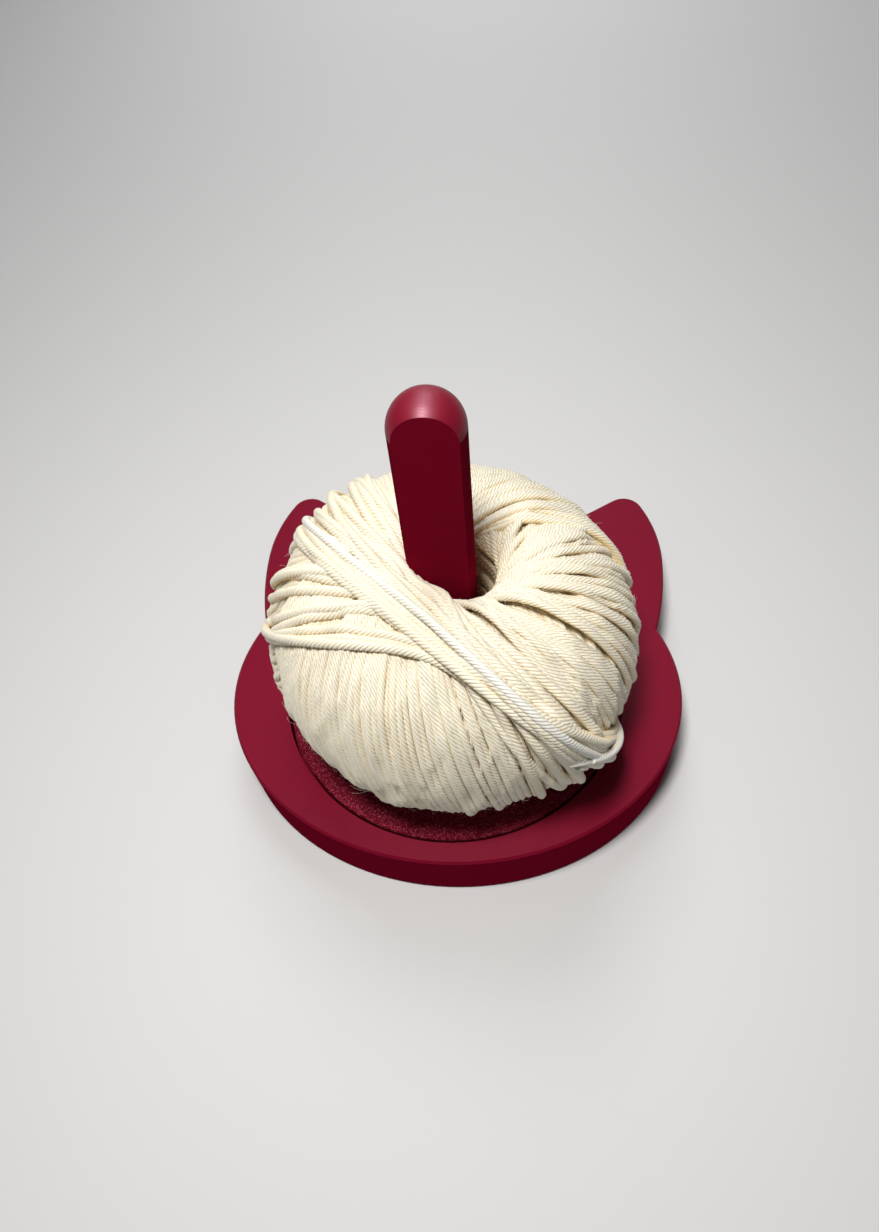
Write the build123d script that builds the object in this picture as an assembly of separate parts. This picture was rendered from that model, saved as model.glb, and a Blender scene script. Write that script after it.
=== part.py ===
from build123d import *
import os
from math import asin, cos, degrees, pi, radians, sin, tan

# Rotating yarn holder: a cat-head base plate carries a turntable on a ball bearing.
# A flat-sided post stands in the turntable and holds a soft ball of yarn.
# Frame: origin on the spin axis at the surface that the feet stand on, +Z up,
# +Y towards the ears, +X to the right seen from the front.  Millimetres.

# --- Base plate -----------------------------------------------------------
BASE_BOTTOM = 0.4            # the feet lift the plate this far off the table
BASE_TOP = 15.25
HEAD_HALF_WIDTH = 50.4
HEAD_HALF_DEPTH = 40.9
HEAD_CENTRE_Y = -1.35        # the head's centre lies a little in front of the spin axis
TOP_CHAMFER = 0.5
BOTTOM_CHAMFER = 0.4

# --- Ears, measured from the head's centre --------------------------------
EAR_WIDEST_X = 49.3
EAR_WIDEST_Y = 37.0
EAR_SIDE_RADIUS = 76.5       # long arc from the cheek up to the widest point
EAR_SHOULDER_RADIUS = 38.0   # arc from the widest point to the tip
EAR_TIP_RADIUS = 4.6
EAR_TOP_Y = 56.8
EAR_INNER_ANGLE = 33.6       # slope of the straight inner edge, degrees
EAR_ROOT_INNER_X = 10.0      # the inner edge runs on into the head as far as this
EAR_ROOT_OUTER_Y = 14.0      # the side arc runs on into the head as far as this
EAR_ROOT_Y = 8.0

# --- Turntable ------------------------------------------------------------
TURNTABLE_RADIUS = 37.3
TURNTABLE_THICKNESS = 4.0
TURNTABLE_CHAMFER = 0.3
RECESS_RADIUS = 37.9         # leaves the thin ring gap around the turntable
HUB_RADIUS = 5.8             # shoulder that stands on the bearing's inner ring
RUNNING_GAP = 0.8            # free height under the turntable

# --- Post -----------------------------------------------------------------
POST_RADIUS = 6.4
POST_THICKNESS = 7.2         # across the two flats
POST_TOP = 98.2
SOCKET_DEPTH = 2.8
SOCKET_FIT = 0.05
STUB_RADIUS = 3.97           # round end that passes through the turntable into the bearing
STUB_BOTTOM = 3.6
STUB_CHAMFER = 0.5

# --- Ball bearing, 22 x 8 x 7 ---------------------------------------------
BEARING_RADIUS = 11.0
BEARING_BORE_RADIUS = 4.0
BEARING_WIDTH = 7.0
BALL_RADIUS = 1.984
BALL_COUNT = 7
PITCH_RADIUS = 7.5
RACE_RADIUS = 2.04
OUTER_LAND_RADIUS = 9.0
INNER_LAND_RADIUS = 6.05
SHIELD_SEAT_RADIUS = 9.6
SHIELD_SEAT_DEPTH = 0.6
SHIELD_INNER_RADIUS = 6.35
SHIELD_OUTER_RADIUS = 9.55
SHIELD_THICKNESS = 0.3
SHIELD_INSET = 0.1
RING_CHAMFER = 0.3
CAGE_INNER_RADIUS = 6.75
CAGE_OUTER_RADIUS = 8.25
CAGE_BELOW = 2.7             # closed side of the crown, below the ball centres
CAGE_ABOVE = 1.1             # open side
CAGE_POCKET_RADIUS = 2.1
POCKET_FIT = 0.03
LEDGE_RADIUS = 7.5           # hollow under the inner ring, so that it turns free
LEDGE_DEPTH = 0.8

# --- Rubber feet ----------------------------------------------------------
FOOT_RADIUS = 5.0
FOOT_HEIGHT = 1.2
FOOT_FIT = 0.1
FOOT_CHAMFER = 0.2
FOOT_PLACES = {
    "foot_centre": (0.0, 0.0),
    "foot_front_left": (-32.0, -18.0),
    "foot_front_right": (32.0, -18.0),
    "foot_ear_left": (-37.5, 38.0),
    "foot_ear_right": (37.5, 38.0),
}

# --- Ball of yarn ---------------------------------------------------------
YARN_HALF_WIDTH = 37.0
YARN_HALF_HEIGHT = 24.6
YARN_CENTRE = (2.2, -1.6, 37.4)
YARN_FLAT_GAP = 0.1          # the flat underside stays this far off the turntable
YARN_HOLE_RADIUS = 8.6
YARN_HOLE_CENTRE = (1.5, 1.4)
YARN_FUNNEL_BOTTOM = 45.0
YARN_FUNNEL_TOP = 63.0
YARN_FUNNEL_RADIUS = 18.0

# --- Heights that follow from the above -----------------------------------
TURNTABLE_BOTTOM = BASE_TOP - TURNTABLE_THICKNESS
BEARING_TOP = TURNTABLE_BOTTOM - RUNNING_GAP
BEARING_BOTTOM = BEARING_TOP - BEARING_WIDTH
BEARING_MIDDLE = BEARING_BOTTOM + BEARING_WIDTH / 2
SOCKET_FLOOR = BASE_TOP - SOCKET_DEPTH
THROUGH = 1.0                # overshoot of a cutting solid past the face it leaves

FROM_BOTTOM = (Align.CENTER, Align.CENTER, Align.MIN)


def rod(radius, bottom, top, x=0.0, y=0.0):
    """Upright cylinder between two heights."""
    return Pos(x, y, bottom) * Cylinder(radius, top - bottom, align=FROM_BOTTOM)


def tube(outer_radius, inner_radius, bottom, top):
    """Upright tube between two heights, on the spin axis."""
    return rod(outer_radius, bottom, top) - rod(inner_radius, bottom - THROUGH, top + THROUGH)


def circular_edges(shape, radius, height):
    """The edges of one radius that lie at one height."""
    edges = shape.edges().filter_by(GeomType.CIRCLE)
    return [e for e in edges if abs(e.radius - radius) < 0.01 and abs(e.center().Z - height) < 0.01]


def ear_outline():
    """Flat face of the right ear, running on into the head."""
    side_centre = (EAR_WIDEST_X - EAR_SIDE_RADIUS, EAR_WIDEST_Y)
    shoulder_centre = (EAR_WIDEST_X - EAR_SHOULDER_RADIUS, EAR_WIDEST_Y)
    tip_rise = EAR_TOP_Y - EAR_TIP_RADIUS - EAR_WIDEST_Y
    tip_angle = degrees(asin(tip_rise / (EAR_SHOULDER_RADIUS - EAR_TIP_RADIUS)))
    tip_run = tip_rise / tan(radians(tip_angle))
    tip_centre = (shoulder_centre[0] + tip_run, EAR_WIDEST_Y + tip_rise)
    root_angle = degrees(asin((EAR_WIDEST_Y - EAR_ROOT_OUTER_Y) / EAR_SIDE_RADIUS))

    side = CenterArc(side_centre, EAR_SIDE_RADIUS, -root_angle, root_angle)
    shoulder = CenterArc(shoulder_centre, EAR_SHOULDER_RADIUS, 0, tip_angle)
    tip = CenterArc(tip_centre, EAR_TIP_RADIUS, tip_angle, 90 + EAR_INNER_ANGLE - tip_angle)
    inner_drop = ((tip @ 1).X - EAR_ROOT_INNER_X) * tan(radians(EAR_INNER_ANGLE))
    inner_end = (EAR_ROOT_INNER_X, (tip @ 1).Y - inner_drop)
    rest = Polyline(tip @ 1, inner_end, (EAR_ROOT_INNER_X, EAR_ROOT_Y), tuple(side @ 0))
    return make_face(side + shoulder + tip + rest)


def head_outline():
    """Flat face of the whole cat head: an ellipse with an ear on each side."""
    ear = ear_outline()
    outline = Ellipse(HEAD_HALF_WIDTH, HEAD_HALF_DEPTH) + ear + mirror(ear, about=Plane.YZ)
    return Pos(0, HEAD_CENTRE_Y) * outline


def base_plate():
    plate = extrude(Pos(0, 0, BASE_BOTTOM) * head_outline(), BASE_TOP - BASE_BOTTOM)
    plate = chamfer(plate.faces().sort_by(Axis.Z)[-1].edges(), TOP_CHAMFER)
    plate = chamfer(plate.faces().sort_by(Axis.Z)[0].edges(), BOTTOM_CHAMFER)
    plate -= rod(RECESS_RADIUS, BEARING_TOP, BASE_TOP + THROUGH)
    plate -= rod(BEARING_RADIUS + POCKET_FIT, BEARING_BOTTOM, BASE_TOP)
    plate -= rod(LEDGE_RADIUS, BEARING_BOTTOM - LEDGE_DEPTH, BASE_TOP)
    for x, y in FOOT_PLACES.values():
        plate -= rod(FOOT_RADIUS + FOOT_FIT, BASE_BOTTOM - THROUGH, FOOT_HEIGHT, x, y)
    return plate


def rubber_foot(x, y):
    foot = rod(FOOT_RADIUS, 0, FOOT_HEIGHT, x, y)
    return chamfer(circular_edges(foot, FOOT_RADIUS, 0), FOOT_CHAMFER)


def post_section(bottom, top, fit=0.0):
    """Round bar with two flats, between two heights."""
    flats = Box(4 * POST_RADIUS, POST_THICKNESS + 2 * fit, 2 * POST_TOP)
    return rod(POST_RADIUS + fit, bottom, top) & flats


def turntable():
    disc = rod(TURNTABLE_RADIUS, TURNTABLE_BOTTOM, BASE_TOP)
    rims = circular_edges(disc, TURNTABLE_RADIUS, BASE_TOP)
    rims += circular_edges(disc, TURNTABLE_RADIUS, TURNTABLE_BOTTOM)
    disc = chamfer(rims, TURNTABLE_CHAMFER)
    disc += rod(HUB_RADIUS, BEARING_TOP, TURNTABLE_BOTTOM)
    disc -= post_section(SOCKET_FLOOR, BASE_TOP + THROUGH, SOCKET_FIT)
    return disc - rod(BEARING_BORE_RADIUS, BEARING_TOP - THROUGH, SOCKET_FLOOR)


def yarn_post():
    dome_centre = POST_TOP - POST_RADIUS
    bar = rod(POST_RADIUS, SOCKET_FLOOR, dome_centre) + Pos(0, 0, dome_centre) * Sphere(POST_RADIUS)
    bar &= Box(4 * POST_RADIUS, POST_THICKNESS, 4 * POST_TOP)
    stub = rod(STUB_RADIUS, STUB_BOTTOM, SOCKET_FLOOR)
    stub = chamfer(circular_edges(stub, STUB_RADIUS, STUB_BOTTOM), STUB_CHAMFER)
    return bar + stub


def raceway():
    return Pos(0, 0, BEARING_MIDDLE) * Torus(PITCH_RADIUS, RACE_RADIUS)


def bearing_outer_ring():
    ring = tube(BEARING_RADIUS, OUTER_LAND_RADIUS, BEARING_BOTTOM, BEARING_TOP)
    rims = circular_edges(ring, BEARING_RADIUS, BEARING_BOTTOM)
    rims += circular_edges(ring, BEARING_RADIUS, BEARING_TOP)
    ring = chamfer(rims, RING_CHAMFER)
    ring -= rod(SHIELD_SEAT_RADIUS, BEARING_BOTTOM - THROUGH, BEARING_BOTTOM + SHIELD_SEAT_DEPTH)
    ring -= rod(SHIELD_SEAT_RADIUS, BEARING_TOP - SHIELD_SEAT_DEPTH, BEARING_TOP + THROUGH)
    return ring - raceway()


def bearing_inner_ring():
    ring = tube(INNER_LAND_RADIUS, BEARING_BORE_RADIUS, BEARING_BOTTOM, BEARING_TOP)
    rims = circular_edges(ring, BEARING_BORE_RADIUS, BEARING_BOTTOM)
    rims += circular_edges(ring, BEARING_BORE_RADIUS, BEARING_TOP)
    return chamfer(rims, RING_CHAMFER) - raceway()


def bearing_shield(bottom):
    return tube(SHIELD_OUTER_RADIUS, SHIELD_INNER_RADIUS, bottom, bottom + SHIELD_THICKNESS)


def bearing_ball(index, radius=BALL_RADIUS):
    angle = 2 * pi * index / BALL_COUNT
    x = PITCH_RADIUS * cos(angle)
    y = PITCH_RADIUS * sin(angle)
    return Pos(x, y, BEARING_MIDDLE) * Sphere(radius)


def bearing_cage():
    """Crown cage: a ring closed below the balls, with pockets that open upwards."""
    low = BEARING_MIDDLE - CAGE_BELOW
    cage = tube(CAGE_OUTER_RADIUS, CAGE_INNER_RADIUS, low, BEARING_MIDDLE + CAGE_ABOVE)
    for index in range(BALL_COUNT):
        cage -= bearing_ball(index, CAGE_POCKET_RADIUS)
    return cage


def yarn_ball():
    """Soft ball, flat where it rests, with a hole and a funnel for the post."""
    x, y, z = YARN_CENTRE
    profile = Ellipse(YARN_HALF_WIDTH, YARN_HALF_HEIGHT)
    profile &= Pos(YARN_HALF_WIDTH, 0) * Rectangle(2 * YARN_HALF_WIDTH, 4 * YARN_HALF_HEIGHT)
    ball = revolve(Plane.XZ * profile, Axis.Z)
    ball = Pos(x, y, z) * ball
    ball -= rod(2 * YARN_HALF_WIDTH, 0, BASE_TOP + YARN_FLAT_GAP)
    hole_x, hole_y = YARN_HOLE_CENTRE
    ball -= rod(YARN_HOLE_RADIUS, 0, POST_TOP, hole_x, hole_y)
    depth = YARN_FUNNEL_TOP - YARN_FUNNEL_BOTTOM
    funnel = Cone(YARN_HOLE_RADIUS, YARN_FUNNEL_RADIUS, depth, align=FROM_BOTTOM)
    return ball - Pos(hole_x, hole_y, YARN_FUNNEL_BOTTOM) * funnel


def all_nodes():
    nodes = {
        "base_plate": base_plate(),
        "turntable": turntable(),
        "yarn_post": yarn_post(),
        "bearing_outer_ring": bearing_outer_ring(),
        "bearing_inner_ring": bearing_inner_ring(),
        "bearing_lower_shield": bearing_shield(BEARING_BOTTOM + SHIELD_INSET),
        "bearing_upper_shield": bearing_shield(BEARING_TOP - SHIELD_INSET - SHIELD_THICKNESS),
        "bearing_cage": bearing_cage(),
        "yarn_ball": yarn_ball(),
    }
    for index in range(BALL_COUNT):
        nodes[f"bearing_ball_{index + 1}"] = bearing_ball(index)
    for name, (x, y) in FOOT_PLACES.items():
        nodes[name] = rubber_foot(x, y)
    return nodes


os.makedirs("parts", exist_ok=True)
for node, shape in all_nodes().items():
    export_step(shape, f"parts/{node}.step")
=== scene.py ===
import math

import bpy
import numpy as np
from mathutils import Matrix, Vector


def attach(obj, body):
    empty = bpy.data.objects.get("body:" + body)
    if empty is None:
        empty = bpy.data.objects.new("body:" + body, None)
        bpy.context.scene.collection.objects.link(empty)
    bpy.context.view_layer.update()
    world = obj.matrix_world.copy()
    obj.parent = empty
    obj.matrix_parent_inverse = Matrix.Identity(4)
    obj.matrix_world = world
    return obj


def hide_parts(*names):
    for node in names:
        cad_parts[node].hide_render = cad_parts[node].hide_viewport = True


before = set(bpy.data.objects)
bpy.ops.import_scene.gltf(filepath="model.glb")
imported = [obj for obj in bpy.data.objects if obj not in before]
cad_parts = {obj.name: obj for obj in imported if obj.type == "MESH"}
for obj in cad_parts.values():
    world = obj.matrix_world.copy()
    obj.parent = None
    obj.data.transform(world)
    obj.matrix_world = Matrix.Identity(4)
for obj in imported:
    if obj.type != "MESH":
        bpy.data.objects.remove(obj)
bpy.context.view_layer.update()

# Looks of a rotating yarn holder: a cat-head base, a turntable, a flat-sided post and a ball of yarn.
# Metres, in the frame of the CAD model: +Z up, +Y towards the ears, spin axis at x = y = 0.
MM = 0.001

# --- Camera: close, above and in front --------------------------------------
CAMERA_AZIMUTH = math.radians(9.29)
CAMERA_ELEVATION = math.radians(55.24)
CAMERA_ROLL = math.radians(-6.98)
CAMERA_DISTANCE = 222.0 * MM
CAMERA_TARGET = Vector((-6.1, 27.95, 0.0)) * MM
CAMERA_LENS = 24.9
CAMERA_SENSOR = 36.0

# --- Lights: a small lamp overhead, a soft one behind, one over the backdrop ---
KEY_LIGHT = dict(place=(-0.024, -0.064, 0.335), target=(0, 0, 0), size=0.065, watts=0.91)
KEY_COLOR = (1.0, 0.985, 0.96)
BACK_LIGHT = dict(place=(-0.03, 0.30, 0.55), target=(0, 0.12, 0), size=0.30, watts=1.05)
BACKDROP_LIGHT = dict(place=(-0.02, 0.60, 0.32), target=(-0.02, 0.60, 0), size=0.35, watts=0.85)
SKY_COLOR = (0.96, 0.97, 1.0, 1)
SKY_STRENGTH = 0.07

# --- Floor ------------------------------------------------------------------
PAPER_COLOR = (0.70, 0.70, 0.70, 1)
PAPER_ROUGHNESS = 0.6
FLOOR_HALF = 3.0                 # the floor reaches this far from the object each way

# --- Printed plastic --------------------------------------------------------
PLATE_RED = (0.218, 0.0038, 0.023, 1)
POST_RED = (0.215, 0.0040, 0.020, 1)
TURNTABLE_RED = (0.165, 0.0026, 0.015, 1)
PLATE_SHINE = 0.14
POST_SHINE = 1.0
SHINE_TINT = (1.0, 0.62, 0.76, 1)
TOP_LINE_PITCH = 0.51 * MM       # diagonal lines of the top and bottom skins
LAYER_PITCH = 0.2 * MM           # layers that show on upright walls
LINE_RELIEF = 0.012 * MM         # height of both kinds of line
SKIN_LIMIT = 0.93                # how squarely a face looks along the print axis to be a skin
BED_GRAIN = 0.17 * MM            # grain of the textured bed on the turntable
PAINTED_GLINT_LIMIT = 0.82               # about one grain in six gets a painted glint
PAINTED_GLINT_COLOR = (0.40, 0.055, 0.10, 1)
BED_RELIEF = 0.12 * MM

# --- Yarn ---------------------------------------------------------------------
PLIES = 6
TWIST_PITCH = 5.8 * MM           # length of one full turn of the plies
FIBRES = 17                      # fibre lines round one strand
CREAM = (0.93, 0.86, 0.70, 1)
CREAM_PAINTED_SHADE = (0.93, 0.73, 0.42, 1)    # painted shade between strands and plies
WHITE = (0.93, 0.90, 0.82, 1)
# painted shade of the whitish yarn between strands and plies
WHITE_PAINTED_SHADE = (0.80, 0.74, 0.60, 1)
FUZZ_COLOR = (0.92, 0.87, 0.76, 1)
SEED = 7

BALL_RADIUS = 35.3               # millimetres from here on, as in the winding maths below
HOLE_RADIUS = 8.2
RIDGE_RADIUS = 17.5              # where the top and the bottom of the ball are fullest
HALF_HEIGHT = 21.8
ROLL_IN = 2.40                   # how far the profile rolls into the hole, radians from the equator
SIDE_FULLNESS = 0.95             # under 1 makes the ball's sides squarer than an ellipse's
TOP_FULLNESS = 0.9               # the same for its top and bottom
TIP_ANGLE = math.radians(15)     # how near the poles a winding comes that grazes the hole
BALL_OFFSET = (1.4, -1.7)
HOLE_OFFSET = (0.9, 0.8)
BALL_HEIGHT = 37.9
BALL_TILT = (-0.05, 0.10)
WINDING_DEPTH = 2.6              # depth of the turns that are modelled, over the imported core
GROOVE = 0.85                    # radius at the grooves between plies, as a share of the full radius
LAID_SHARE = 0.72                # share of a strand's radius that keeps others off; the rest gives way
HEAP_LIMIT = 1.5                 # height over which heaped turns press into each other
NO_LIMIT = math.inf
WANDER_KNOTS = 7                 # bends of a turn's small wander, per loop
WANDER_SIDEWAYS = 0.006
WANDER_ALONG = 0.0035
RIM_MARGIN = 0.005               # share of the profile that turns keep off the rims of the hole
PLIED_SIDES = 2 * PLIES          # a ridge and a groove for each ply

# Turns of the ball itself: the hidden coarse lot, then the even lot that shows.
HIDDEN_TURNS = 110
HIDDEN_PHI = math.radians(40)
HIDDEN_RADIUS = 0.80
HIDDEN_TIP_SCATTER = 0.03
HIDDEN_SAMPLES = 160
HIDDEN_SIDES = 6
SHOWN_TURNS = 166
SHOWN_RADIUS = 0.78
SHOWN_PHI_SCATTER = 0.007
SHOWN_TIP_SCATTER = 0.035
SHOWN_SAMPLES = 300
LAST_BODY_PHI = math.radians(110)
NEATEST = 0.25                   # untidiness of the last even turn; the first one has 1

# Turns that lie side by side behind the hole, laid halfway through the even lot.
BACK_TURNS = 24
BACK_PHI = 100                   # degrees, like the angles below
BACK_SCATTER = 1.2
BACK_NEAREST_TIP = 16
BACK_TIP_REACH = 42
BACK_SWAY = 0.45
BACK_RADIUS = 0.80
BACK_LOOSE = 0.6

# Loose turns across the front.  Each range is its start, its reach over the family and its scatter.
SIDE_FAMILY = dict(turns=11, phi=(236, 16, 3.0), tip=(24, 22, 1.5), radius=(0.95, 0, 0.05),
                   sway=(0.20, 0.25, 0.06), loose=1.8)
BELT_FAMILY = dict(turns=17, phi=(208, 22, 2.5), tip=(17, 22, 0), radius=(0.97, 0, 0.06),
                   sway=(0, 0, 0.05), loose=1.6)
LOOSE_SAMPLES = 360

# Wall of the hole.
LINING_REACH = 14.0              # half the height of the wall
LINING_PITCH = 1.45
LINING_LEAN = 1.2
LINING_RADIUS = 0.85
LINING_SIDES = 8
LINING_SINK = 0.7                # how far the lining lies behind the rims
CORE_SINK = 1.3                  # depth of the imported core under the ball's profile

# The whitish last turn and the loose end.
LAST_PHI = math.radians(228)
LAST_TIP = math.radians(34.5)
LAST_RADIUS = 0.88
LAST_LOOSE = 0.6
LAST_SAMPLES = 420
LAST_LIFT = 0.45                 # how far the last turn stands off the heap
END_LAID_RADIUS = 0.7
TAIL_FROM = (336, 0.575)         # azimuth in degrees and share of the profile
TAIL_RUN = (-26, -0.135)
TAIL_LIFT = 4.2                  # height of the heap up to which the loose end rides over it
TAIL_START_LIFT = 0.8
TAIL_PRESS = 0.2                 # how far the loose end presses into the heap
TAIL_TAPER = 0.15
TAIL_SAMPLES = 60
FRAY_FROM = (311, 0.446)
FRAY_LENGTH = (5, 2.5)           # degrees: the least, and the random part
FRAY_FAN = (1.6, 0.012)          # spread of the plies, in degrees and in share of the profile
FRAY_DROP = 0.022
FRAY_CURL = 0.7
FRAY_RADIUS = 0.42
FRAY_TAPER = 0.7
FRAY_SAMPLES = 24
FRAY_SIDES = 6

# Stray fibres.
FUZZ_HAIRS = 2600
FUZZ_RADIUS = 0.011
FUZZ_SIDES = 4
FUZZ_ROOT = 0.6                  # height over the profile at which a hair starts
FUZZ_LEAST = 0.3                 # least height of a hair over its root


# ================================ helpers ===================================
def darker(color, share):
    return tuple(share * v for v in color[:3]) + (1,)


class Nodes:
    """Small wrapper that keeps the node code of a material short."""

    def __init__(self, name, color, roughness):
        self.material = bpy.data.materials.new(name)
        self.material.use_nodes = True
        self.tree = self.material.node_tree
        self.shader = self.tree.nodes["Principled BSDF"]
        self.shader.inputs["Base Color"].default_value = color
        self.shader.inputs["Roughness"].default_value = roughness

    def add(self, kind, **settings):
        node = self.tree.nodes.new(kind)
        for key, value in settings.items():
            setattr(node, key, value)
        return node

    def link(self, source, target):
        self.tree.links.new(source, target)

    def feed(self, value, socket):
        if isinstance(value, bpy.types.NodeSocket):
            self.link(value, socket)
        else:
            socket.default_value = value

    def math(self, operation, a, b=0.0, c=0.0, clamp=False):
        node = self.add("ShaderNodeMath", operation=operation, use_clamp=clamp)
        for value, socket in zip((a, b, c), node.inputs):
            self.feed(value, socket)
        return node.outputs[0]

    def mix(self, factor, a, b):
        node = self.add("ShaderNodeMix", data_type="RGBA")
        self.feed(factor, node.inputs["Factor"])
        self.feed(a, node.inputs["A"])
        self.feed(b, node.inputs["B"])
        return node.outputs["Result"]

    def noise(self, vector, scale, detail=2.0, roughness=0.5):
        node = self.add("ShaderNodeTexNoise")
        self.link(vector, node.inputs["Vector"])
        node.inputs["Scale"].default_value = scale
        node.inputs["Detail"].default_value = detail
        node.inputs["Roughness"].default_value = roughness
        return node.outputs["Fac"]

    def ridges(self, coordinate, pitch, phase=0.0):
        """A soft sine between 0 and 1 along one coordinate."""
        turns = self.math("MULTIPLY_ADD", coordinate, 2 * math.pi / pitch, phase)
        return self.math("MULTIPLY_ADD", self.math("SINE", turns), 0.5, 0.5)

    def bump(self, height, distance, strength=1.0):
        node = self.add("ShaderNodeBump")
        self.link(height, node.inputs["Height"])
        node.inputs["Distance"].default_value = distance
        node.inputs["Strength"].default_value = strength
        self.link(node.outputs["Normal"], self.shader.inputs["Normal"])


def smooth(piece, angle=40):
    """Smooth shading that keeps the hard edges."""
    piece.data.shade_smooth()
    piece.data.set_sharp_from_angle(angle=math.radians(angle))


def dress(piece, material):
    piece.data.materials.clear()
    piece.data.materials.append(material)
    piece.data.polygons.foreach_set("material_index", [0] * len(piece.data.polygons))


def new_mesh(name, vertices, faces, material, body):
    mesh = bpy.data.meshes.new(name)
    mesh.from_pydata(vertices.tolist(), [], faces.tolist())
    mesh.materials.append(material)
    piece = bpy.data.objects.new(name, mesh)
    bpy.context.scene.collection.objects.link(piece)
    mesh.shade_smooth()
    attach(piece, body)
    return piece


# ================================ camera, light, floor ======================
def make_camera():
    az, el, roll = CAMERA_AZIMUTH, CAMERA_ELEVATION, CAMERA_ROLL
    back = Vector((math.sin(az) * math.cos(el), -math.cos(az) * math.cos(el), math.sin(el)))
    level = Vector((math.cos(az), math.sin(az), 0))
    above = back.cross(level)
    right = math.cos(roll) * level + math.sin(roll) * above
    up = math.cos(roll) * above - math.sin(roll) * level
    camera = bpy.data.objects.new("camera", bpy.data.cameras.new("camera"))
    camera.data.lens = CAMERA_LENS
    camera.data.sensor_width = CAMERA_SENSOR
    camera.data.clip_start = 0.01
    turn = Matrix((right, up, back)).transposed().to_4x4()
    camera.matrix_world = Matrix.Translation(CAMERA_TARGET + back * CAMERA_DISTANCE) @ turn
    bpy.context.scene.collection.objects.link(camera)
    bpy.context.scene.camera = camera


def area_light(name, place, target, size, watts, color=(1, 1, 1)):
    lamp = bpy.data.lights.new(name, "AREA")
    lamp.shape = "DISK"
    lamp.size = size
    lamp.energy = watts
    lamp.color = color
    piece = bpy.data.objects.new(name, lamp)
    piece.location = place
    piece.rotation_euler = (Vector(target) - Vector(place)).to_track_quat("-Z", "Y").to_euler()
    bpy.context.scene.collection.objects.link(piece)


def make_lights():
    area_light("key", color=KEY_COLOR, **KEY_LIGHT)
    area_light("back", **BACK_LIGHT)
    area_light("backdrop", **BACKDROP_LIGHT)
    world = bpy.data.worlds.new("studio")
    world.use_nodes = True
    background = world.node_tree.nodes["Background"]
    background.inputs["Color"].default_value = SKY_COLOR
    background.inputs["Strength"].default_value = SKY_STRENGTH
    bpy.context.scene.world = world


def make_floor():
    paper = Nodes("floor_paper", PAPER_COLOR, PAPER_ROUGHNESS)
    where = paper.add("ShaderNodeTexCoord").outputs["Object"]
    paper.bump(paper.noise(where, 900, 3), 0.05 * MM, 0.4)
    half = FLOOR_HALF
    corners = np.array([(-half, -half, 0), (half, -half, 0), (half, half, 0), (-half, half, 0)])
    mesh = bpy.data.meshes.new("floor")
    mesh.from_pydata(corners.tolist(), [], [(0, 1, 2, 3)])
    mesh.materials.append(paper.material)
    floor = bpy.data.objects.new("floor", mesh)
    bpy.context.scene.collection.objects.link(floor)


# ================================ materials =================================
def printed_plastic(name, color, shine, flat_axis="Z"):
    """Printed plastic: diagonal lines on the skins that face flat_axis, layers everywhere else.

    The gloss is on the faces that look up or down; on upright walls the layers break it up.
    """
    m = Nodes(name, color, 0.5)
    place = m.add("ShaderNodeTexCoord")
    at = m.add("ShaderNodeSeparateXYZ")
    m.link(place.outputs["Object"], at.inputs[0])
    facing = m.add("ShaderNodeSeparateXYZ")
    m.link(place.outputs["Normal"], facing.inputs[0])
    across = "Y" if flat_axis == "Z" else "Z"
    along = m.math("ADD", at.outputs["X"], at.outputs[across])
    diagonal = m.ridges(m.math("MULTIPLY", along, math.sqrt(0.5)), TOP_LINE_PITCH)
    layers = m.ridges(at.outputs[flat_axis], LAYER_PITCH)
    is_skin = m.math("GREATER_THAN", m.math("ABSOLUTE", facing.outputs[flat_axis]), SKIN_LIMIT)
    lines = m.mix(is_skin, layers, diagonal)
    cloud = m.noise(place.outputs["Object"], 260, 4)
    fine = m.noise(place.outputs["Object"], 4200, 2)
    height = m.math("MULTIPLY_ADD", fine, 0.35, lines)
    m.bump(height, LINE_RELIEF, 0.8)
    shade = m.math("MULTIPLY_ADD", lines, 0.5, m.math("MULTIPLY", cloud, 0.5))
    m.link(m.mix(shade, darker(color, 0.76), color), m.shader.inputs["Base Color"])
    m.link(m.math("MULTIPLY_ADD", cloud, 0.10, 0.36), m.shader.inputs["Roughness"])
    level = m.math("ABSOLUTE", facing.outputs["Z"])
    m.link(m.math("MULTIPLY", level, shine), m.shader.inputs["Specular IOR Level"])
    m.shader.inputs["Specular Tint"].default_value = SHINE_TINT
    return m.material


def bed_grain_plastic(name, color):
    """Printed plastic with the grain of a textured print bed, and a painted glint on some of its grains.
    """
    m = Nodes(name, color, 0.4)
    place = m.add("ShaderNodeTexCoord").outputs["Object"]
    cells = m.add("ShaderNodeTexVoronoi")
    m.link(place, cells.inputs["Vector"])
    cells.inputs["Scale"].default_value = 1 / BED_GRAIN
    grain = m.noise(place, 0.6 / BED_GRAIN, 3, 0.6)
    painted_glint_pick = m.add("ShaderNodeSeparateColor")
    m.link(cells.outputs["Color"], painted_glint_pick.inputs[0])
    # Painted glint: the chosen grains get a lighter base colour that stands for their sparkle.
    is_painted_glint = m.math("GREATER_THAN", painted_glint_pick.outputs[0], PAINTED_GLINT_LIMIT)
    height = m.math("ADD", m.math("MULTIPLY", cells.outputs["Distance"], -0.7), grain)
    m.bump(height, BED_RELIEF)
    m.link(m.math("MULTIPLY_ADD", grain, 0.35, 0.16), m.shader.inputs["Roughness"])
    plain = m.mix(grain, darker(color, 0.75), color)
    m.link(m.mix(is_painted_glint, plain, PAINTED_GLINT_COLOR), m.shader.inputs["Base Color"])
    m.shader.inputs["Specular IOR Level"].default_value = 0.08
    return m.material


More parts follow.
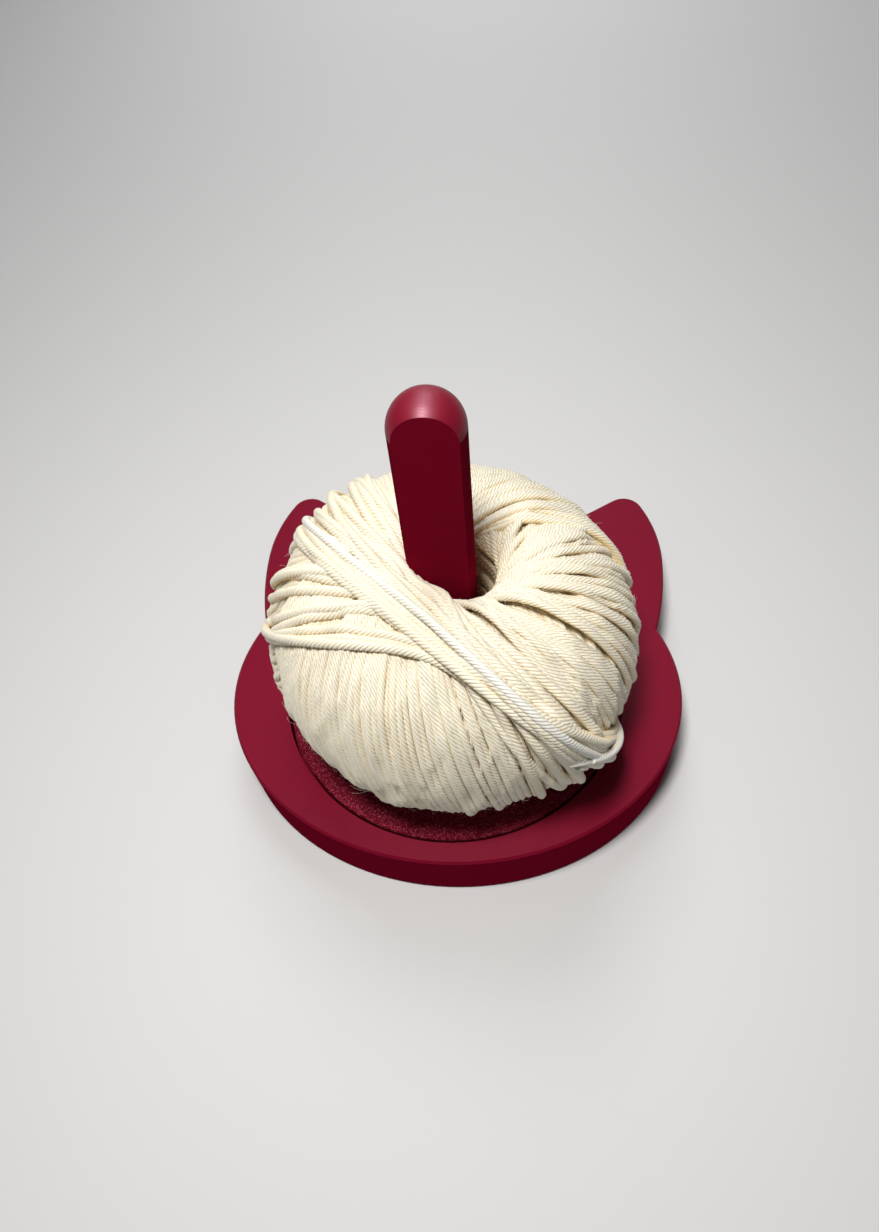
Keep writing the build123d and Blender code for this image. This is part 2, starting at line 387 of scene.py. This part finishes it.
def steel(name, color, roughness, scratch):
    m = Nodes(name, color, roughness)
    place = m.add("ShaderNodeTexCoord").outputs["Object"]
    marks = m.noise(place, scratch, 4)
    m.shader.inputs["Metallic"].default_value = 1
    m.link(m.math("MULTIPLY_ADD", marks, 0.18, roughness - 0.09), m.shader.inputs["Roughness"])
    m.bump(marks, 0.004 * MM, 0.4)
    return m.material


def moulded(name, color, roughness, grain):
    m = Nodes(name, color, roughness)
    place = m.add("ShaderNodeTexCoord").outputs["Object"]
    speck = m.noise(place, grain, 4)
    m.link(m.mix(speck, darker(color, 0.8), color), m.shader.inputs["Base Color"])
    m.bump(speck, 0.02 * MM, 0.5)
    return m.material


def yarn_material(name, color, painted_shade_color):
    """Plied yarn, with painted shade in the grooves between plies and on each strand's inward side,
    where it lies on other strands.

    The attribute "strand" holds length along (metres), turn around (0 is outward) and a tint.
    """
    m = Nodes(name, color, 0.42)
    strand = m.add("ShaderNodeAttribute", attribute_name="strand")
    part = m.add("ShaderNodeSeparateXYZ")
    m.link(strand.outputs["Vector"], part.inputs[0])
    along, around, tint = part.outputs["X"], part.outputs["Y"], part.outputs["Z"]
    place = m.add("ShaderNodeTexCoord").outputs["Object"]
    ply_turn = m.math("MULTIPLY_ADD", along, PLIES / TWIST_PITCH, m.math("MULTIPLY", around, PLIES))
    ply = m.math("ABSOLUTE", m.math("SINE", m.math("MULTIPLY", ply_turn, math.pi)))
    against = m.math("MULTIPLY", around, -FIBRES)
    fibre_turn = m.math("MULTIPLY_ADD", along, FIBRES / TWIST_PITCH, against)
    fibre = m.math("ABSOLUTE", m.math("SINE", m.math("MULTIPLY", fibre_turn, math.pi)))
    fluff = m.noise(place, 2600, 4, 0.65)
    round_ply = m.math("POWER", ply, 0.6)
    height = m.math("MULTIPLY_ADD", fibre, 0.08, m.math("MULTIPLY_ADD", fluff, 0.22, round_ply))
    m.bump(height, 0.22 * MM, 0.8)
    # Painted shade: each strand is tinted towards the shade colour on its inward side, where it lies on
    # other strands, and in the grooves between its plies.
    outward = m.math("COSINE", m.math("MULTIPLY", around, 2 * math.pi))
    painted_contact_shade = m.math("MULTIPLY_ADD", outward, 1.25, 0.20, clamp=True)
    painted_groove_shade = m.math("MULTIPLY_ADD", m.math("POWER", ply, 0.5), 0.45, 0.55)
    shade = m.math("MULTIPLY", painted_groove_shade, painted_contact_shade)
    # Low values take the painted shade colour; the strand's random tint lightens some strands a little.
    shade = m.math("MULTIPLY_ADD", tint, 0.12, m.math("MULTIPLY", shade, 0.94), clamp=True)
    m.link(m.mix(shade, painted_shade_color, color), m.shader.inputs["Base Color"])
    m.link(m.math("MULTIPLY_ADD", fluff, 0.3, 0.22), m.shader.inputs["Roughness"])
    m.shader.inputs["Sheen Weight"].default_value = 0.2
    m.shader.inputs["Sheen Roughness"].default_value = 0.4
    m.shader.inputs["Subsurface Weight"].default_value = 0.15
    m.shader.inputs["Subsurface Radius"].default_value = (0.6 * MM, 0.4 * MM, 0.2 * MM)
    m.shader.inputs["Subsurface Scale"].default_value = 1.0
    m.shader.inputs["Specular IOR Level"].default_value = 0.5
    return m.material


def fuzz_material(name, color):
    m = Nodes(name, color, 0.6)
    place = m.add("ShaderNodeTexCoord").outputs["Object"]
    pale = tuple(min(1, 1.1 * v) for v in color[:3]) + (1,)
    m.link(m.mix(m.noise(place, 900), color, pale), m.shader.inputs["Base Color"])
    m.shader.inputs["Sheen Weight"].default_value = 0.4
    return m.material


# ================================ yarn ball =================================
def ball_profile(samples=400):
    """The ball's cut outline from the top rim of the hole, round the equator, to the bottom rim."""
    psi = np.linspace(ROLL_IN, -ROLL_IN, samples)
    c, s = np.cos(psi), np.sin(psi)
    outer = RIDGE_RADIUS + (BALL_RADIUS - RIDGE_RADIUS) * np.abs(c) ** SIDE_FULLNESS
    inner = RIDGE_RADIUS + (RIDGE_RADIUS - HOLE_RADIUS) * c / abs(math.cos(ROLL_IN))
    r = np.where(c > 0, outer, inner)
    z = HALF_HEIGHT * np.sign(s) * np.abs(s) ** TOP_FULLNESS
    length = np.concatenate(([0], np.cumsum(np.hypot(np.diff(r), np.diff(z)))))
    return length / length[-1], r, z, length[-1]


PROFILE_U, PROFILE_R, PROFILE_Z, PROFILE_LENGTH = ball_profile()


def on_ball(azimuth, u, height=0.0):
    """Point of the ball's surface, raised by height along the surface's normal, in millimetres."""
    r = np.interp(u, PROFILE_U, PROFILE_R)
    z = np.interp(u, PROFILE_U, PROFILE_Z)
    step = 0.004
    dr = np.interp(u + step, PROFILE_U, PROFILE_R) - np.interp(u - step, PROFILE_U, PROFILE_R)
    dz = np.interp(u + step, PROFILE_U, PROFILE_Z) - np.interp(u - step, PROFILE_U, PROFILE_Z)
    size = np.hypot(dr, dz)
    r = r - height * dz / size
    z = z + height * dr / size
    share = np.clip((r - HOLE_RADIUS) / (BALL_RADIUS - HOLE_RADIUS), 0, 1)
    x = r * np.cos(azimuth) + HOLE_OFFSET[0] + (BALL_OFFSET[0] - HOLE_OFFSET[0]) * share
    y = r * np.sin(azimuth) + HOLE_OFFSET[1] + (BALL_OFFSET[1] - HOLE_OFFSET[1]) * share
    about_x, about_y = BALL_TILT
    y, z = y * math.cos(about_x) - z * math.sin(about_x), y * math.sin(about_x) + z * math.cos(about_x)
    x, z = x * math.cos(about_y) + z * math.sin(about_y), z * math.cos(about_y) - x * math.sin(about_y)
    return np.stack([x, y, z + BALL_HEIGHT], -1)


def winding_path(phi, tip, samples, sway=0.0):
    """One turn of yarn round the ball: a tilted loop that comes within tip of the poles."""
    s = np.linspace(-math.pi, math.pi, samples)
    theta = np.arccos(np.cos(s) * math.cos(tip))
    azimuth = phi + np.arctan2(np.sin(s), np.cos(s) * math.sin(tip)) - sway * np.sin(s)
    return azimuth, (theta - TIP_ANGLE) / (math.pi - 2 * TIP_ANGLE)


class HeapMap:
    """How high the yarn is heaped at each place, so that later turns lie over earlier ones."""

    COLUMNS = 520
    ROWS = 260
    PULL = 5                     # steps over which a strand's own stiffness evens out its height
    FLATNESS = 0.8               # height of a laid strand's section, as a share of a circle's
    SPREADS = ((3, 0), (5, 0), (2, 1), (3, 1))      # cells and axis of each step of evening out
    THINNEST = 0.1

    def __init__(self):
        self.height = np.zeros((self.COLUMNS, self.ROWS))

    def cells(self, azimuth, u):
        column = np.round(azimuth / (2 * math.pi) * self.COLUMNS).astype(int) % self.COLUMNS
        row = np.clip(np.round(u * (self.ROWS - 1)).astype(int), 0, self.ROWS - 1)
        return column, row

    def lay(self, azimuth, u, radius, limit=NO_LIMIT):
        """Lays one strand on the heap and returns the height of its centre line."""
        r = np.maximum(np.interp(u, PROFILE_U, PROFILE_R), HOLE_RADIUS)
        da = np.gradient(np.unwrap(azimuth)) * r
        du = np.gradient(u) * PROFILE_LENGTH
        size = np.hypot(da, du) + 1e-9
        offsets = np.linspace(-radius, radius, 7)
        lens = np.sqrt(np.maximum(radius**2 - offsets**2, 0)) * self.FLATNESS
        side_a = azimuth[:, None] - offsets[None, :] * (du / size / r)[:, None]
        side_u = u[:, None] + offsets[None, :] * (da / size / PROFILE_LENGTH)[:, None]
        column, row = self.cells(side_a, side_u)
        centre = (self.height[column, row] + lens[None, :]).max(1)
        reach = self.PULL + 1
        kernel = np.hanning(2 * reach + 1)
        kernel /= kernel.sum()
        for _ in range(2):
            padded = np.concatenate((centre[-reach:], centre, centre[:reach]))
            softened = np.convolve(padded, kernel, "valid")
            centre = 0.6 * np.maximum(centre, softened) + 0.4 * softened
        np.maximum.at(self.height, (column, row), centre[:, None] + lens[None, :])
        return np.minimum(centre, limit + 0.3 * np.maximum(centre - limit, 0))

    def settle(self, depth):
        """Presses the heap to one even depth and returns the pressing share at each place."""
        spread = self.height.copy()
        for _ in range(5):
            for shift, axis in self.SPREADS:
                if axis == 0:
                    spread = (spread + np.roll(spread, shift, 0) + np.roll(spread, -shift, 0)) / 3
                else:
                    padded = np.pad(spread, ((0, 0), (shift, shift)), mode="edge")
                    spread = (spread + padded[:, 2 * shift:] + padded[:, :-2 * shift]) / 3
        share = np.minimum(1, depth / np.maximum(spread, self.THINNEST))
        self.height = self.height * share - spread * share
        return spread, share


def strand_tube(path, radius, sides, tint, start):
    """Tube of quads round a path, with capped ends and its strand attribute.

    Where the sides are two to a ply, the sides follow the twist and every other one is a groove.
    """
    ahead = np.gradient(path, axis=0)
    ahead /= np.linalg.norm(ahead, axis=1)[:, None]
    outward = path - np.array([BALL_OFFSET[0], BALL_OFFSET[1], BALL_HEIGHT])
    outward -= (outward * ahead).sum(1)[:, None] * ahead
    outward /= np.linalg.norm(outward, axis=1)[:, None]
    sideways = np.cross(ahead, outward)
    steps = np.linalg.norm(np.diff(path, axis=0), axis=1)
    length = start + np.concatenate(([0], np.cumsum(steps)))
    plied = sides == PLIED_SIDES
    twist = length * MM / TWIST_PITCH if plied else np.zeros(len(path))
    twist = twist - np.floor(twist[0])
    share = np.arange(sides) / sides
    turn = 2 * math.pi * (share[None, :] - twist[:, None])
    reach = np.broadcast_to(radius, (len(path),))[:, None] * np.ones(sides)
    if plied:
        reach[:, ::2] *= GROOVE
    points = path[:, None, :] + reach[..., None] * (
        outward[:, None, :] * np.cos(turn)[..., None] + sideways[:, None, :] * np.sin(turn)[..., None]
    )
    ring = np.arange(len(path) - 1)[:, None] * sides
    side = np.arange(sides)[None, :]
    after = (side + 1) % sides
    faces = np.stack([ring + side, ring + after, ring + sides + after, ring + sides + side], -1)
    corners = np.empty(faces.shape + (3,))
    corners[..., :2, 0] = (length[:-1] * MM)[:, None, None]
    corners[..., 2:, 0] = (length[1:] * MM)[:, None, None]
    edge = np.stack([share, share + 1 / sides, share + 1 / sides, share], -1)
    corners[..., 1] = edge[None]
    corners[..., :2, 1] -= twist[:-1, None, None]
    corners[..., 2:, 1] -= twist[1:, None, None]
    corners[..., 2] = tint
    faces, corners = faces.reshape(-1, 4), corners.reshape(-1, 3)
    low = np.arange(sides // 2 - 1)
    cap = np.stack([low, sides - 1 - low, sides - 2 - low, low + 1], -1)
    last = (len(path) - 1) * sides + cap[:, ::-1]
    ends = np.zeros((len(cap) * 8, 3))
    ends[:, 2] = tint
    faces = np.concatenate([faces, cap, last])
    corners = np.concatenate([corners, ends])
    return points.reshape(-1, 3), faces, corners, length[-1]


class Bundle:
    """Collects strands that end up in one mesh."""

    def __init__(self):
        self.points, self.faces, self.corners, self.count = [], [], [], 0

    def strand(self, path, radius, sides, tint, start):
        points, faces, corners, end = strand_tube(path, radius, sides, tint, start)
        self.points.append(points)
        self.faces.append(faces + self.count)
        self.corners.append(corners)
        self.count += len(points)
        return end

    def make(self, name, material, body):
        points = np.concatenate(self.points) * MM
        faces = np.concatenate(self.faces)
        piece = new_mesh(name, points, faces, material, body)
        layer = piece.data.attributes.new("strand", "FLOAT_VECTOR", "CORNER")
        layer.data.foreach_set("vector", np.concatenate(self.corners).astype(np.float32).ravel())
        return piece


def wander(rng, samples, knots, size):
    """A smooth closed random curve."""
    values = rng.normal(0, size, knots)
    where = np.linspace(0, knots, samples)
    low = np.floor(where).astype(int)
    share = where - low
    share = share * share * (3 - 2 * share)
    return values[low % knots] * (1 - share) + values[(low + 1) % knots] * share


def plan_turn(rng, phi, tip, loose, samples, sway=0.0):
    """Path of one turn, with the small wander that a hand or a machine gives it."""
    azimuth, u = winding_path(phi, tip, samples, sway)
    azimuth = azimuth + wander(rng, samples, WANDER_KNOTS, WANDER_SIDEWAYS * loose)
    u = u + wander(rng, samples, WANDER_KNOTS, WANDER_ALONG * loose)
    return azimuth, np.clip(u, RIM_MARGIN, 1 - RIM_MARGIN)


def body_turns(rng):
    """The turns of the ball itself, as phi, tip, sway, radius, looseness, samples and sides."""
    full = 2 * math.pi
    for k in range(HIDDEN_TURNS):
        phi = HIDDEN_PHI + full * k / HIDDEN_TURNS
        tip = TIP_ANGLE + abs(rng.normal(0, HIDDEN_TIP_SCATTER))
        yield phi, tip, 0.0, HIDDEN_RADIUS, 1.0, HIDDEN_SAMPLES, HIDDEN_SIDES
    for k in range(SHOWN_TURNS):
        age = 1 - k / SHOWN_TURNS
        if k == SHOWN_TURNS // 2:
            yield from back_turns(rng)
        untidy = NEATEST + (1 - NEATEST) * age
        phi = LAST_BODY_PHI + full * age + rng.normal(0, SHOWN_PHI_SCATTER) * untidy
        tip = TIP_ANGLE + abs(rng.normal(0, SHOWN_TIP_SCATTER)) * untidy
        yield phi, tip, 0.0, SHOWN_RADIUS, untidy, SHOWN_SAMPLES, PLIED_SIDES


def back_turns(rng):
    """Turns that lie side by side behind the hole, from the far side to its rim."""
    for share in np.linspace(1, 0, BACK_TURNS):
        phi = math.radians(BACK_PHI + rng.normal(0, BACK_SCATTER))
        tip = math.radians(BACK_NEAREST_TIP + BACK_TIP_REACH * share)
        yield phi, tip, BACK_SWAY * share, BACK_RADIUS, BACK_LOOSE, SHOWN_SAMPLES, PLIED_SIDES


def pick(rng, span, share):
    """A value of a family's range.  A range without scatter takes no random draw."""
    start, reach, scatter = span
    value = start + reach * share
    return value + scatter * rng.normal() if scatter else value


def loose_turns(rng):
    """The last loose turns: from the left edge, then across the front from upper left to lower right."""
    for family in (SIDE_FAMILY, BELT_FAMILY):
        for share in rng.permutation(np.linspace(0, 1, family["turns"])):
            phi = math.radians(pick(rng, family["phi"], share))
            tip = math.radians(pick(rng, family["tip"], share))
            radius = pick(rng, family["radius"], share)
            sway = pick(rng, family["sway"], share)
            yield phi, tip, sway, radius, family["loose"]


def make_yarn_ball():
    yarn = yarn_material("cream_wool", CREAM, CREAM_PAINTED_SHADE)
    rng = np.random.default_rng(SEED)
    heap = HeapMap()
    laid = []
    for phi, tip, sway, radius, loose, samples, sides in body_turns(rng):
        azimuth, u = plan_turn(rng, phi, tip, loose, samples, sway)
        radius *= 1 + rng.normal(0, 0.03)
        laid.append((azimuth, u, heap.lay(azimuth, u, LAID_SHARE * radius), radius, sides))
    spread, share = heap.settle(WINDING_DEPTH)

    ball = Bundle()
    run = 0.0
    for azimuth, u, height, radius, sides in laid:
        place = heap.cells(azimuth, u)
        height = (height - spread[place]) * share[place]
        run = ball.strand(on_ball(azimuth, u, height), radius, sides, rng.uniform(0, 1), run)
    piece = ball.make("yarn_windings", yarn, "yarn")
    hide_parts("yarn_ball")

    belt = Bundle()
    for phi, tip, sway, radius, loose in loose_turns(rng):
        azimuth, u = plan_turn(rng, phi, tip, loose, LOOSE_SAMPLES, sway)
        height = heap.lay(azimuth, u, LAID_SHARE * radius, HEAP_LIMIT)
        run = belt.strand(on_ball(azimuth, u, height), radius, PLIED_SIDES, rng.uniform(0, 1), run)
    piece = belt.make("yarn_last_turns", yarn, "yarn")
    yarn_core(yarn)
    hole_lining(rng, yarn)
    yarn_end(rng, heap)
    yarn_fuzz(rng)


def hole_lining(rng, yarn):
    """Turns that show on the wall of the hole, below its rim."""
    lining = Bundle()
    turn = np.linspace(0, 2 * math.pi, 90)
    for level in np.arange(-LINING_REACH, LINING_REACH, LINING_PITCH):
        lean = rng.normal(0, LINING_LEAN)
        azimuth = turn + rng.uniform(0, 6.28)
        u = (LINING_REACH - level + lean * np.cos(turn)) / (2 * LINING_REACH)
        path = on_wall(azimuth, u)
        lining.strand(path, LINING_RADIUS, LINING_SIDES, rng.uniform(0, 1), 0)
    return lining.make("yarn_inner_turns", yarn, "yarn")


def on_wall(azimuth, u):
    """Point on the wall of the hole, between its top rim (u = 0) and its bottom rim (u = 1)."""
    top = on_ball(azimuth, np.zeros_like(u), -LINING_SINK)
    bottom = on_ball(azimuth, np.ones_like(u), -LINING_SINK)
    return top + (bottom - top) * u[:, None]


def yarn_end(rng, heap):
    """The whitish last turn across the front, and the yarn's loose end against it at the lower right."""
    white = yarn_material("white_wool", WHITE, WHITE_PAINTED_SHADE)
    bundle = Bundle()
    azimuth, u = plan_turn(rng, LAST_PHI, LAST_TIP, LAST_LOOSE, LAST_SAMPLES)
    height = heap.lay(azimuth, u, END_LAID_RADIUS, HEAP_LIMIT) + LAST_LIFT
    bundle.strand(on_ball(azimuth, u, height), LAST_RADIUS, PLIED_SIDES, 1.0, 0)

    t = np.linspace(0, 1, TAIL_SAMPLES)
    azimuth = np.radians(TAIL_FROM[0] + TAIL_RUN[0] * t)
    u = TAIL_FROM[1] + TAIL_RUN[1] * t
    under = heap.height[heap.cells(azimuth, u)].max()
    climb = min(under, TAIL_LIFT) - TAIL_PRESS
    lift = TAIL_START_LIFT + climb * np.sin(0.5 * math.pi * t) ** 0.5
    tail = on_ball(azimuth, u, lift)
    bundle.strand(tail, LAST_RADIUS - TAIL_TAPER * t ** 4, PLIED_SIDES, 1.0, 0)
    for _ in range(PLIES):
        frayed_ply(rng, bundle, lift[-1])
    return bundle.make("yarn_end", white, "yarn")


def frayed_ply(rng, bundle, lift):
    """One ply of the loose end, fanned out from the others and thinning to its tip."""
    t = np.linspace(0, 1, FRAY_SAMPLES)
    spread = rng.normal(0, 1.0, 2)
    length = FRAY_LENGTH[0] + FRAY_LENGTH[1] * rng.uniform()
    azimuth = np.radians(FRAY_FROM[0] - length * t + FRAY_FAN[0] * spread[0] * t**1.5)
    u = FRAY_FROM[1] - FRAY_DROP * t + FRAY_FAN[1] * spread[1] * t**1.5
    path = on_ball(azimuth, u, lift + FRAY_CURL * t * rng.uniform(-0.8, 0.8))
    bundle.strand(path, FRAY_RADIUS * (1 - FRAY_TAPER * t**2), FRAY_SIDES, 1.0, 0)


def yarn_fuzz(rng):
    """Stray fibres that stand off the ball."""
    hairs = Bundle()
    t = np.linspace(0, 1, 6)
    for _ in range(FUZZ_HAIRS):
        azimuth = rng.uniform(0, 2 * math.pi) + rng.normal(0, 0.05) * t
        u = rng.uniform(0.06, 0.94) + rng.normal(0, 0.010) * t + rng.normal(0, 0.008) * t**2
        tall = abs(rng.normal(0, 0.6)) + FUZZ_LEAST
        height = FUZZ_ROOT + tall * np.sin(t * rng.uniform(1.0, 2.0))
        hairs.strand(on_ball(azimuth, u, height), FUZZ_RADIUS, FUZZ_SIDES, 1.0, 0)
    return hairs.make("yarn_fuzz", fuzz_material("wool_fuzz", FUZZ_COLOR), "yarn")


def yarn_core(yarn):
    """Closed body of packed yarn under the turns that show."""
    columns, rows = 96, 64
    azimuth = np.linspace(0, 2 * math.pi, columns, endpoint=False)
    u = np.linspace(0, 1, rows)
    grid_a, grid_u = np.meshgrid(azimuth, u, indexing="ij")
    points = on_ball(grid_a, grid_u, -CORE_SINK).reshape(-1, 3) * MM
    column = np.arange(columns)[:, None]
    row = np.arange(rows)[None, :]
    after = (column + 1) % columns
    below = (row + 1) % rows
    here, there = column * rows, after * rows
    faces = np.stack([here + row, here + below, there + below, there + row], -1)
    piece = new_mesh("yarn_core", points, faces.reshape(-1, 4), yarn, "yarn")
    layer = piece.data.attributes.new("strand", "FLOAT_VECTOR", "CORNER")
    layer.data.foreach_set("vector", np.zeros(len(piece.data.loops) * 3, np.float32))
    return piece


# ================================ CAD pieces ================================
def dress_cad_pieces():
    red = printed_plastic("red_print", PLATE_RED, PLATE_SHINE)
    post_red = printed_plastic("red_print_post", POST_RED, POST_SHINE, flat_axis="Y")
    bed_red = bed_grain_plastic("red_textured_print", TURNTABLE_RED)
    ring = steel("bearing_steel", (0.52, 0.52, 0.53, 1), roughness=0.3, scratch=9000)
    polished = steel("ball_steel", (0.75, 0.75, 0.76, 1), roughness=0.14, scratch=5000)
    shield = steel("shield_steel", (0.55, 0.55, 0.54, 1), roughness=0.35, scratch=3000)
    nylon = moulded("cage_nylon", (0.62, 0.55, 0.38, 1), roughness=0.5, grain=2500)
    rubber = moulded("foot_rubber", (0.022, 0.022, 0.024, 1), roughness=0.8, grain=4000)
    chosen = {
        "base_plate": red,
        "turntable": bed_red,
        "yarn_post": post_red,
        "bearing_outer_ring": ring,
        "bearing_inner_ring": ring,
        "bearing_lower_shield": shield,
        "bearing_upper_shield": shield,
        "bearing_cage": nylon,
    }
    for name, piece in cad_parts.items():
        if name.startswith("bearing_ball"):
            chosen[name] = polished
        if name.startswith("foot"):
            chosen[name] = rubber
        if name in chosen:
            dress(piece, chosen[name])
            smooth(piece)


bpy.context.scene.view_settings.view_transform = "Standard"
make_camera()
make_lights()
make_floor()
dress_cad_pieces()
make_yarn_ball()
